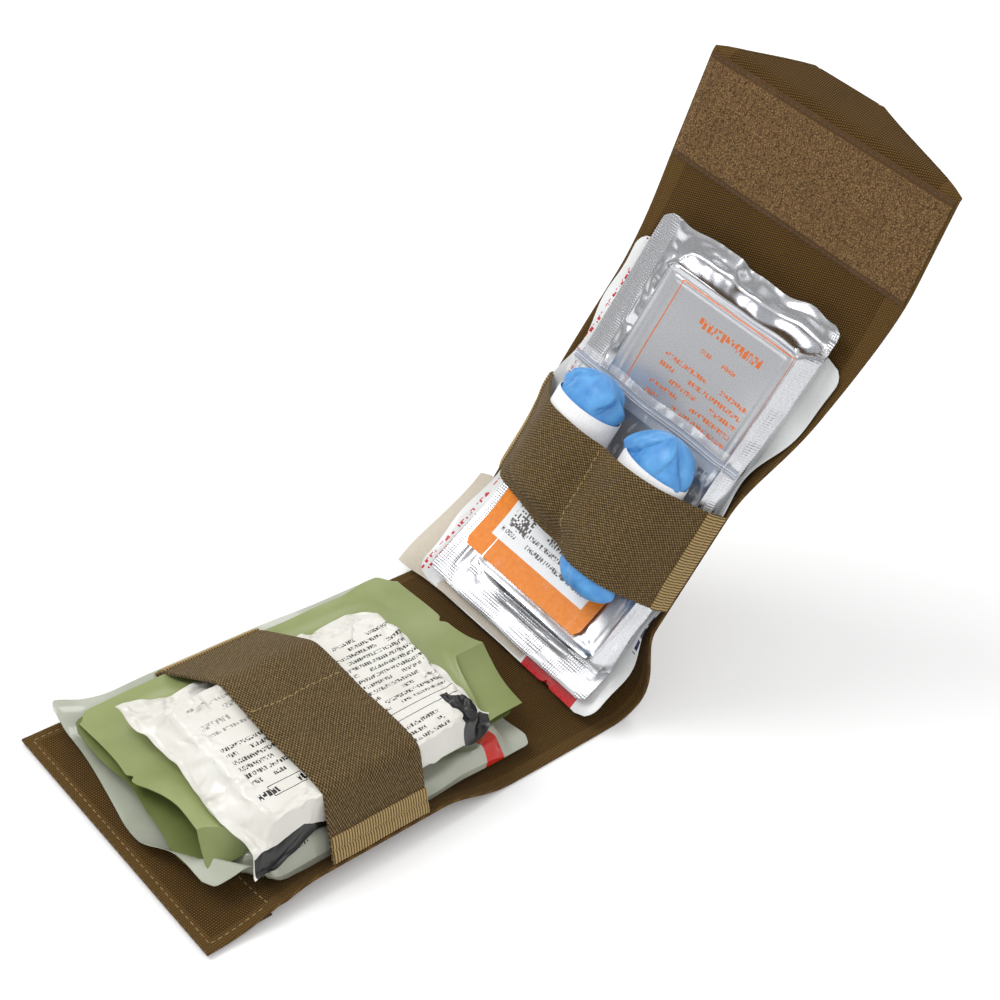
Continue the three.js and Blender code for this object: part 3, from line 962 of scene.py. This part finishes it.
def build_dressing_pouch(look, inside_look):
    """The satin green pouch: torn open at its left end, ridged at its right, with a darker green inside it
    as painted shade.
    """
    s, t = np.meshgrid(np.linspace(17, 186, 115), np.linspace(0, 1, 91), indexing="ij")
    mouth = ease((50 - s) / 32)
    ridge = ease((s - 158) / 14)
    near = -38.0 + 0 * s
    far = 54.5 - 7 * ease((s - 178) / 8) - 5 * ease((24 - s) / 7)
    fold = -36 + 10 * mouth**2 + 29 * ridge
    side = 0.2
    up_side = near + (fold - near) * t / side
    y = np.where(t < side, up_side, fold + (far - fold) * (t - side) / (1 - side))
    full = 21.2 - 6.5 * ease((y - 36) / 16) + 0.5 * ripples(s, y, 42, 41)
    open_end = np.interp(y, (-38, -26, -12, 4, 14, 31, 52), (24.5, 24.5, 22.8, 19.6, 15.6, 14.0, 13.4))
    right_end = 19.6 + 4.4 * np.exp(-np.abs(y - fold) / 9) - 2.0 * ease((y - 20) / 30)
    crown = full * (1 - mouth) + open_end * mouth
    crown = crown * (1 - ridge) + right_end * ridge
    foot = 12.2 + 2.2 * ridge
    drop = np.clip(1 - t / side, 0, 1)
    sag = 1.2 * np.sin(math.pi * drop) * (1 - 0.4 * ridge)
    top = crown - (crown - foot) * drop - sag
    end = ease((24 - s) / 7)
    lip = 3.0 * hump(y, -10, 16) - 2.0 * hump(y, 9, 9) + 1.2 * hump(y, 32, 14)
    tear = 2.4 * hump(y, 14.0, 1.5) * end - 2.4 * hump(y, 16, 1.6) * ease((s - 182) / 4)
    right_lip = 2 * hump(y, -10, 12) * ease((s - 170) / 16)
    upper = panel_a.at(s + lip * end + tear + right_lip, y, top)
    uv = np.stack([s, y], -1)
    # The film's inner face gets the darker inside green, as painted shade.
    film = thick("dressing_pouch", upper, FILM, uv, [look, inside_look])
    nodes = ("dressing_pouch_back", "dressing_pouch_front", "dressing_core")
    add_pack(film, "dressing_pack", nodes)
    s, y = plan((15, 184, -38, 53), 6, 2)
    under = 11.4 + 0.3 * ripples(s, y, 35, 45) + 1.4 * ease((y - 36) / 14)
    lip = 3 * hump(y, -24, 12) - 2.0 * hump(y, 14, 10)
    s = s - lip * ease((30 - s) / 15)
    # The under film takes the darker inside green too, as painted shade seen through the mouth.
    back = slab("dressing_pouch_under", panel_a, s, y, under + FILM, under, [inside_look])
    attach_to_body(back, "dressing_pack")


def build_gauze_pack(look):
    """The white vacuum pack on top: a firm block in wrinkled film, its near flange hanging down."""
    s, t = np.meshgrid(np.linspace(27, 158, 84), np.linspace(0, 1, 62), indexing="ij")
    round_off = 7 * ease((s - 148) / 10) ** 2
    start = -52 + 3 * ease((s - 34) / 34) + round_off
    y = start + (38 - round_off - start) * t
    point = ease((44 - s) / 17) * ease((t - 0.7) / 0.3)
    y = y + 3 * point
    block = from_block(s, y, (38, 147, -44, 22), 4)
    tight = ease(1 - block / (8 - 3 * ease((-30 - y) / 8)))
    level = 23.2 + 2.4 * ease((34 - y) / 14)
    hang = (9 - 8 * ease((s - 34) / 36)) * ease((-47 - y) / 4)
    slack = (1.8 * ripples(s, y, 17, 52) + 1.0 * ripples(s, y, 9, 53)) * ease((block + 14) / 12)
    film = np.stack([s, y, level - hang + 10.5 * tight + slack], -1)
    inner = ease(1 - block / 3)
    swell = 1.2 * ripples(s, y, 34, 54)
    core = np.stack([s, y, level - hang - 1 + (10.6 + swell) * inner], -1)
    film = refined(settled(film, core, stiffness=0.03))
    s, y, point, level = (refined(v[..., None])[..., 0] for v in (s, y, point, level - hang))
    lift = 5.0 * np.maximum(point, 0) ** 1.5 + 1.2 * ripples(s, y, 20, 55) * ease((31 - s) / 4)
    film[..., 2] += lift
    film[..., 0] += (3.0 * hump(y, 4, 18) + 2.0 * hump(y, -44, 10)) * ease((38 - s) / 11)
    low = np.minimum(level + lift, film[..., 2] - FILM)
    piece = filled_pouch("gauze_pack", panel_a, film, low, [look])
    add_pack(piece, "gauze_pack", ("gauze_pack_back", "gauze_pack_front", "gauze_core"))


# ------------------------------------------------------- packs on panel B


def lean(s):
    """The packs' lower ends stand away from panel B, over the spine."""
    return 25 * ease((60 - s) / 76)


def lift_b(s, y):
    return edge_lift(s + STARTS[2] + 0 * y, y + 0 * s)[1] * 0.75


def build_leaflet(look):
    """The beige card behind the packs: its folded lower part sticks out past the far edge."""
    s, t = np.meshgrid(np.linspace(-5, 182, 125), np.linspace(0, 1, 50), indexing="ij")
    far = 55 + 11.5 * ease((47.5 - s) / 2)
    y = -36 + (far + 36) * t
    height = 2.4 + lean(s) * 1.08 + lift_b(s, y) + 0.4 * ripples(s, y, 80, 61)
    height = height + 3.5 * ease((y - 50) / 14) * ease((40 - s) / 40)
    slope = ease((y - 20) / 44) * ease((40 - s) / 40)
    s, y = s - 2.2 * slope, y + 1.5 * slope
    piece = slab("leaflet_sheet", panel_b, s, y, height + 0.5, height, [look])
    attach(piece, "leaflet_paper", "panel_b_body", "leaflet")


def build_seal_pouch(look):
    """The flat white pouch behind the foil one."""
    s, y = plan((-6, 184, -59, 59), 9, 2)
    filled = ease(1 - from_block(s, y, (20, 165, -42, 42), 20) / 16)
    waves = 0.7 * ripples(s, y, 46, 62) + 1.6 * ripples(s, 0 * y, 60, 63) * ease((np.abs(y) - 46) / 14)
    across, rise = edge_lift(s + STARTS[2], y)
    base = 3.6 + lean(s) * 1.02 + rise + 0.4 * waves
    far_wave = 3.0 * ease((y - 46) / 12) * (1 + np.sin(s / 14)) / 2
    top = base + FILM + 3.6 * filled + 0.5 * waves + far_wave
    low = base + far_wave
    edge = 2.2 * ripples(s, 0 * y, 48, 64) * ease((np.abs(y) - 40) / 18) * np.sign(y)
    notch = 2.6 * hump(y, -30, 1.6) * ease((-3 - s) / 3)
    piece = slab("chest_seal_pouch", panel_b, s + notch, across + edge, top, low, [look])
    nodes = ("chest_seal_pouch_back", "chest_seal_pouch_front", "chest_seal_lower", "chest_seal_upper")
    add_pack(piece, "panel_b_body", nodes)


def foil_zones(s, y):
    """Distance from the block inside the foil pouch, and where the foil is loose."""
    block = from_block(s, y, FOIL_BLOCK, 2)
    return block, ease((block - 1) / 6) * (1 - ease((y - 38) / 4))


def build_foil_pouch(look):
    """The foil pouch: a hard-edged block inside creased foil, with flat embossed seals."""
    s, y = plan((1, 198, -52, 51.5), 4, 2.0)
    level = 9.4 + lean(s) + 0.8 * lift_b(s, y)
    block, loose = foil_zones(s, y)
    slack = 2.2 * ripples(s, 0.8 * y, 40, 73) * loose * (0.4 + 0.6 * ease(s / 30))
    film = np.stack([s, y, level + 14.5 * ease(1 - (block - 0.5) / 6) + slack + 0.5], -1)
    core = np.stack([s, y, level - 0.8 + 13.2 * ease(1 - (block - 0.5) / 3)], -1)
    core[..., 2] += 1.1 * ripples(s, y, 80, 79) * ease(1 - block / 3)
    film = refined(settled(film, core, stiffness=2.0))
    s, y, level = (refined(v[..., None])[..., 0] for v in (s, y, level))
    block, loose = foil_zones(s, y)
    ridges = 1.1 * hump(block, 0.6, 1.0) - 0.8 * hump(block, 3.0, 1.2) + 0.5 * hump(block, -4.0, 0.8)
    dents = 1.3 * crumple(s, 0.55 * y, 26, 71) * loose * (0.3 + 0.7 * ease((s - 10) / 20))
    dents = dents + 0.9 * (hump(s, 15.5, 1.2) + hump(s, 11.5, 1.0)) * ease((27 - np.abs(y + 8)) / 8)
    folds = np.abs(np.sin(s / 5.5 + 1.2 * ripples(s, 0 * y, 40, 75)))
    pleats = 0.9 * folds * ease((-46 - y) / 5) * ease((s - 30) / 8)
    top_edge = (1.2 * ripples(0 * s, y, 13, 76) + 1.6 * ripples(0 * s, y, 34, 77)) * ease((s - 180) / 18)
    film[..., 2] += ridges + dents + pleats + top_edge
    film[..., 0] += 1.3 * ripples(0 * s, y, 24, 78) * ease((s - 176) / 22)
    low = np.minimum(level + top_edge, film[..., 2] - FILM)
    piece = filled_pouch("foil_pouch", panel_b, film, low, [look], sharp=50)
    nodes = ("foil_pouch_back", "foil_pouch_front", "foil_pouch_dressing")
    add_pack(piece, "panel_b_body", nodes)


def bag_level(s, y):
    """Height of the clear bag over panel B: it drops at both sides and waves at its mouth."""
    level = 25.0 + lean(s) + lift_b(s, y) * 0.6 - 3.5 * ease((-42 - y) / 10) - 3.0 * ease((y - 30) / 16)
    return level + 1.5 * ease((s - 112) / 18) * ripples(0 * s, y, 40, 84)


def build_zip_bag(look, zip_material, card_material):
    """The clear bag that holds the label card, with its zip across the top."""
    s, y = plan((24, 78, -34, 40), 2, 3)
    level = 24.0 + lean(s) + lift_b(s, y) * 0.5
    card = slab("printed_card", panel_b, s, y, level + 0.6, level, [card_material])
    attach(card, "label_card", "panel_b_body", "label_card")
    s, y = plan((14, 130, -53, 47), 3, 1.2)
    wrinkles = 0.9 * (1 - np.abs(ripples(s, y * 0.7, 36, 82))) ** 4 + 0.25 * ripples(s, y, 20, 83)
    top = bag_level(s, y) + np.maximum(wrinkles, -0.2) + 0.9
    bag = slab("zip_bag", panel_b, s, y, top, top - 0.25, [look])
    attach(bag, "clear_film", "panel_b_body", "zip_bag_back", "zip_bag_front")
    s, y = plan((122, 126.5, -54, 46), 1, 0.5)
    level = bag_level(s, y)
    ribs = 0.45 * np.sin(2 * math.pi * s / 1.8)
    strip = slab("zip_strip", panel_b, s, y, level + 2.3 + ribs, level + 1.4, [zip_material])
    attach(strip, "clear_film", "panel_b_body", "zip_bag_zip")


def glove_radius(t, angle, seed):
    """Radius share of a rolled glove at t along it (0 to 1) and round it: wrapped, with tucked ends."""
    round_end = np.clip(1 - np.clip((t - 0.82) / 0.18, 0, 1) ** 2.2, 0, 1) ** 0.5
    round_start = np.clip(1 - np.clip((0.12 - t) / 0.12, 0, 1) ** 2.2, 0, 1) ** 0.5
    near_end = ease((t - 0.72) / 0.14) + ease((0.24 - t) / 0.2)
    turn = angle / (2 * math.pi)
    random = np.random.default_rng(seed)
    folds = np.zeros(t.shape)
    for lobes, depth in ((2, 0.3), (3, 0.22), (5, 0.12)):
        twist = random.uniform(1.0, 2.4) * random.choice((-1, 1))
        part = (lobes * turn + twist * t + random.uniform(0, 1)) % 1.0
        folds += depth * (part - 0.55) * ease((1 - part) / 0.1)
    dents = 0.1 * crumple(60 * t + seed, 48 * np.minimum(turn, 1 - turn), 13, seed + 1) * near_end
    wrap = 0.05 * ((turn + 0.1 * t + 0.3) % 1.0)
    return round_end * round_start * (1 + near_end * folds + wrap + dents)


def roll_height(s):
    """Height of the middle of a glove roll above panel B."""
    return 38.6 + 0.35 * lean(s)


def glove_mesh(name, centre_y, reach, seed, look):
    """A rolled glove: a closed tube of uneven radius along panel B."""
    rings, count = 120, 110
    half_width, half_height = 15.2, 11.2
    turns = np.linspace(0, 2 * math.pi, count, endpoint=False)
    t, angle = np.meshgrid(np.linspace(0, 1, rings), turns, indexing="ij")
    share = glove_radius(t, angle, seed)
    s = reach[0] + (reach[1] - reach[0]) * t
    y = centre_y + half_width * share * np.cos(angle)
    n = roll_height(s) + half_height * share * np.sin(angle)
    points = panel_b.at(s, y, n)
    faces = []
    for i in range(rings - 1):
        for j in range(count):
            k = (j + 1) % count
            faces.append((i * count + j, i * count + k, (i + 1) * count + k, (i + 1) * count + j))
    faces.append(tuple(range(count - 1, -1, -1)))
    last = (rings - 1) * count
    faces.append(tuple(range(last, last + count)))
    mesh = bpy.data.meshes.new(name)
    mesh.from_pydata(points.reshape(-1, 3).tolist(), [], faces)
    layer = mesh.uv_layers.new(name="mm")
    uv = np.stack([s, angle * half_width], -1).reshape(-1, 2)
    order = np.concatenate([np.array(face) for face in faces])
    layer.data.foreach_set("uv", uv[order].astype(np.float32).ravel())
    mesh.materials.append(look)
    mesh.shade_smooth()
    mesh.set_sharp_from_angle(angle=math.radians(60))
    mesh.update()
    return add_object(name, mesh)


def sleeve_mesh(name, centre_y, reach, look):
    """A paper sleeve wrapped round a rolled glove."""
    s0, s1 = reach
    half_width, half_height = 15.8, 11.8
    s, angle = np.meshgrid(np.linspace(s0, s1, 40), np.linspace(0, 2 * math.pi, 97), indexing="ij")
    uneven = 0.35 * ripples(s, angle * 8, 30, 91)
    lap = 0.5 * ease(angle / 0.3)
    slant = 1.2 * np.cos(angle + 0.5)
    shapes = []
    for extra in (0.7, 0.3):
        y = centre_y + (half_width + extra + uneven + lap) * np.cos(angle)
        n = roll_height(s) + (half_height + extra + uneven * 0.6 + lap) * np.sin(angle)
        shapes.append(panel_b.at(s + slant * (s > s1 - 3), y, n))
    uv = np.stack([s, angle * half_width], -1)
    return shell(name, shapes[0], shapes[1], uv, [look])


def build_gloves(nitrile, paper):
    """Two rolled gloves, each in a paper sleeve, standing out under band B."""
    rolls = (
        ("left", 18.5, (65, 128), (71, 113), 92),
        ("right", -25.5, (43, 125), (66, 109), 95),
    )
    for word, centre_y, reach, sleeve, seed in rolls:
        roll = glove_mesh(f"rolled_glove_{word}", centre_y, reach, seed, nitrile)
        attach(roll, "nitrile", f"glove_pack_{word}", f"glove_roll_{word}")
        wrap = sleeve_mesh(f"paper_sleeve_{word}", centre_y, sleeve, paper)
        attach(wrap, "white_paper", f"glove_pack_{word}", f"glove_sleeve_{word}")


# -------------------------------------------------------------------- bands


def pack_heights(panel, s, y, names):
    """Heights of the packs above a panel, by looking down on them."""
    bpy.context.view_layer.update()
    graph = bpy.context.evaluated_depsgraph_get()
    trees = [BVHTree.FromObject(bpy.data.objects[name], graph) for name in names]
    matrices = [bpy.data.objects[name].matrix_world.inverted() for name in names]
    starts = panel.at(s, y, 200.0)
    down = Vector(-panel.out)
    heights = np.zeros(s.shape)
    for index in np.ndindex(s.shape):
        for tree, matrix in zip(trees, matrices):
            start = matrix @ Vector(starts[index])
            hit = tree.ray_cast(start, matrix.to_3x3() @ down)
            if hit[0] is not None:
                heights[index] = max(heights[index], 200.0 - hit[3] / MM)
    return heights


def upper_hull(y, n):
    """The tight line over points that are sorted by y."""
    hull = []
    for point in zip(y, n):
        while len(hull) > 1:
            (y0, n0), (y1, n1) = hull[-2:]
            if (y1 - y0) * (point[1] - n0) - (n1 - n0) * (point[0] - y0) >= 0:
                hull.pop()
            else:
                break
        hull.append(point)
    return np.array(hull)


def smoothed(values, passes):
    """A running average along the first axis that keeps the ends."""
    for _ in range(passes):
        middle = (values[:-2] + 2 * values[1:-1] + values[2:]) / 4
        values = np.concatenate([values[:1], middle, values[-1:]])
    return values


def raised(values, reach):
    """The highest value within reach rows: a stiff band clears steps before and after it."""
    result = values.copy()
    for shift in range(1, reach + 1):
        result[shift:] = np.maximum(result[shift:], values[:-shift])
        result[:-shift] = np.maximum(result[:-shift], values[shift:])
    return result


def band_line(y, heights, feet, count):
    """Evenly spaced points of elastic stretched from foot to foot over the packs."""
    (y0, n0), (y1, n1) = feet
    inside = (y > y0 + 0.5) & (y < y1 - 0.5)
    points = upper_hull(
        np.concatenate([[y0], y[inside], [y1]]), np.concatenate([[n0], heights[inside], [n1]])
    )
    steps = np.hypot(*np.diff(points, axis=0).T)
    travelled = np.concatenate([[0], np.cumsum(steps)])
    even = np.linspace(0, travelled[-1], count)
    line = np.stack([np.interp(even, travelled, points[:, i]) for i in range(2)], 1)
    return smoothed(line, 14)


def build_band(name, panel, start, stack, feet, dip, look, binding, thread_material):
    """An elastic band over a stack, its ribbed end tapes and its sewn middle line."""
    rows = np.linspace(start, start + WEBBING, 42)
    y = np.linspace(-64, 64, 129)
    s, across = np.meshgrid(rows, y, indexing="ij")
    heights = smoothed(raised(pack_heights(panel, s, across, stack), 3), 6)
    count = 150
    lines = np.stack([band_line(y, row, feet(u), count) for u, row in zip(rows, heights)])
    lines = smoothed(lines, 5)
    lines[..., 1] += 0.5
    centre = dip[0]
    floor = np.stack([np.interp(line[:, 0], y, row) for line, row in zip(lines, heights)])
    sunk = lines[..., 1] - dip[1] * hump(lines[..., 0], centre, dip[2])
    lines[..., 1] = np.maximum(sunk, np.minimum(floor + 0.6, lines[..., 1]))
    edge = np.minimum(rows - start, start + WEBBING - rows)[:, None]
    lines[..., 1] += 0.35 * ripples(s[:, :1], lines[..., 0], 26, 101) - 0.4 * np.exp(-edge / 1.2)
    bow = 1.0 * ripples(0 * lines[..., 0], lines[..., 0], 60, 102)
    lower = panel.at(s[:, :1] + bow, lines[..., 0], lines[..., 1])
    length = np.concatenate([[0], np.cumsum(np.hypot(*np.diff(lines[20], axis=0).T))])
    uv = np.stack(np.broadcast_arrays(s[:, :1], length[None, :]), -1)
    band = thick(name, lower, 1.3, uv, [look])
    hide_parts(f"elastic_{name}")
    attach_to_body(band, panel.body)
    upper = lower + normals_of(lower) * 1.3 * MM
    normals = normals_of(upper)
    middle = int(np.argmin(np.abs(lines[20, :, 0] - centre)))
    seam = upper[1:-1, middle] - normals[1:-1, middle] * 0.1 * MM
    up = normals[1:-1, middle]
    row = stitch_row(f"{name}_seam", seam, up, (2.6, 0.6, 0.55), 0.5, thread_material, sway=0.3)
    attach(row, "binding", panel.body)
    build_bindings(name, panel, upper, normals, length, binding, thread_material)


def build_bindings(name, panel, upper, normals, length, look, thread_material):
    """Ribbed tape on the outside of each end of a band, with a sewn groove down its middle."""
    letter = name[-1]
    for word, flip in (("near", False), ("far", True)):
        place = length if not flip else (length[-1] - length)[::-1]
        face, up = (upper, normals) if not flip else (upper[:, ::-1], normals[:, ::-1])
        across = np.linspace(0, TAPE_WIDTH, 28)
        run = np.linspace(-0.6, face.shape[0] - 0.4, 300)
        grid = np.empty((len(run), len(across), 3))
        out = np.empty_like(grid)
        for i, r in enumerate(np.clip(run, 0, face.shape[0] - 1)):
            low = min(int(r), face.shape[0] - 2)
            share = r - low
            line = face[low] * (1 - share) + face[low + 1] * share
            normal = up[low] * (1 - share) + up[low + 1] * share
            for k in range(3):
                grid[i, :, k] = np.interp(across, place, line[:, k])
                out[i, :, k] = np.interp(across, place, normal[:, k])
        along = np.linspace(0, WEBBING + 1, len(run))[:, None] + 0 * across
        ribs = 0.16 * np.sin(2 * math.pi * along / RIB_PITCH)
        groove = 0.55 * hump(across, 5.6, 0.7)
        height = 0.95 + ribs - groove - 0.3 * np.exp(-np.minimum(across, TAPE_WIDTH - across) / 0.5)
        top = grid + out * height[..., None] * MM
        uv = np.stack([along, across + 0 * along], -1)
        tape = shell(f"{name}_end_tape_{word}", top, grid + out * 0.05 * MM, uv, [look])
        attach(tape, "binding", panel.body, f"band_{letter}_binding_{word}")
        middle = len(across) // 2 - 1
        path = grid[:, middle] + out[:, middle] * 0.5 * MM
        size = (1.7, 0.5, 0.45)
        row = stitch_row(f"{name}_stitches_{word}", path, out[:, middle], size, 1.0, thread_material)
        attach(row, "binding", panel.body)


def foot_on(panel, start):
    """A band's foot on the curled side of the carrier, as a function of the place along the panel."""
    def foot(s):
        points = []
        for side in (-1, 1):
            top, _ = carrier_top(np.array(start + s), np.array(side * BAND_FOOT))
            offset = (top - panel.start) / MM
            points.append((offset[1], float(offset @ panel.out) + 0.3))
        return points
    return foot


# -------------------------------------------------------------------- stage


def build_camera():
    """The camera, from its place and the directions of its right, up and view."""
    data = bpy.data.cameras.new("camera")
    data.sensor_width = 36
    data.lens = 64.8
    camera = bpy.data.objects.new("camera", data)
    right = Vector((0.70381, -0.67250, 0.22890))
    up = Vector((0.29851, 0.57237, 0.76373))
    back = right.cross(up)
    camera.matrix_world = Matrix.Translation((-0.4728, -0.34996, 0.55501)) @ Matrix(
        (right, up, back)
    ).transposed().to_4x4()
    bpy.context.scene.collection.objects.link(camera)
    bpy.context.scene.camera = camera


def add_light(name, place, target, size, power):
    data = bpy.data.lights.new(name, "AREA")
    data.shape = "SQUARE"
    data.size = size
    data.energy = power
    light = bpy.data.objects.new(name, data)
    light.location = place
    light.rotation_euler = (Vector(target) - Vector(place)).to_track_quat("-Z", "Y").to_euler()
    bpy.context.scene.collection.objects.link(light)


def build_stage():
    """A pale floor, a pale sky and three soft lights."""
    mesh = bpy.data.meshes.new("floor")
    mesh.from_pydata([(-6, -6, 0), (6, -6, 0), (6, 6, 0), (-6, 6, 0)], [], [(0, 1, 2, 3)])
    look = Look("floor", (1.0, 1.0, 1.0, 1), 0.9, Specular_IOR_Level=0.1)
    mesh.materials.append(look.material)
    add_object("floor", mesh)
    world = bpy.data.worlds.new("studio")
    world.use_nodes = True
    nodes, links = world.node_tree.nodes, world.node_tree.links
    direction = nodes.new("ShaderNodeTexCoord")
    split = nodes.new("ShaderNodeSeparateXYZ")
    brightness = nodes.new("ShaderNodeMapRange")
    for key, value in {1: -0.05, 2: 0.75, 3: 0.28, 4: 0.86}.items():
        brightness.inputs[key].default_value = value
    links.new(direction.outputs["Generated"], split.inputs[0])
    links.new(split.outputs[2], brightness.inputs[0])
    links.new(brightness.outputs[0], nodes["Background"].inputs["Strength"])
    nodes["Background"].inputs["Color"].default_value = (1, 1, 1, 1)
    bpy.context.scene.world = world
    bpy.context.scene.view_settings.view_transform = "Standard"
    target = (0.0, 0.0, 0.08)
    add_light("key", (-0.8, 0.9, 1.4), target, 0.9, 15)
    add_light("fill", (-0.9, -1.1, 1.0), target, 1.0, 4.5)
    add_light("rim", (1.1, 0.5, 1.3), target, 0.7, 4.5)


def build():
    thread_material = thread_look("thread", chart(176, 150, 92))
    laminate = laminate_look()
    elastic, binding = elastic_look(), binding_look()
    build_camera()
    build_stage()
    build_carrier(laminate)
    stitch_carrier(thread_look("edge_thread", chart(158, 130, 76)))
    build_hook_tape(hook_look())
    build_loop_field(pile_look(), thread_look("loop_thread", chart(74, 53, 28)))
    green = green_look()
    build_bandage_pouch(grey_look())
    build_dressing_pouch(green, green_inside_look())
    build_gauze_pack(gauze_look())
    build_leaflet(leaflet_look())
    build_seal_pouch(seal_pouch_look())
    build_foil_pouch(foil_look())
    build_zip_bag(clear_look(), zip_look(), card_look())
    build_gloves(nitrile_look(), paper_look())
    stack_a = ("bandage_pouch", "dressing_pouch", "gauze_pack")
    build_band(
        "band_a", panel_a, BAND_A_START, stack_a, foot_on(panel_a, 0),
        (1.5, 0.0, 6), elastic, binding, thread_material,
    )
    rolls = ("rolled_glove_left", "rolled_glove_right", "paper_sleeve_left", "paper_sleeve_right")
    stack_b = ("chest_seal_pouch", "foil_pouch", "zip_bag") + rolls
    build_band(
        "band_b", panel_b, BAND_B_START, stack_b, foot_on(panel_b, STARTS[2]),
        (-3.5, 5.0, 9), elastic, binding, thread_material,
    )


build()
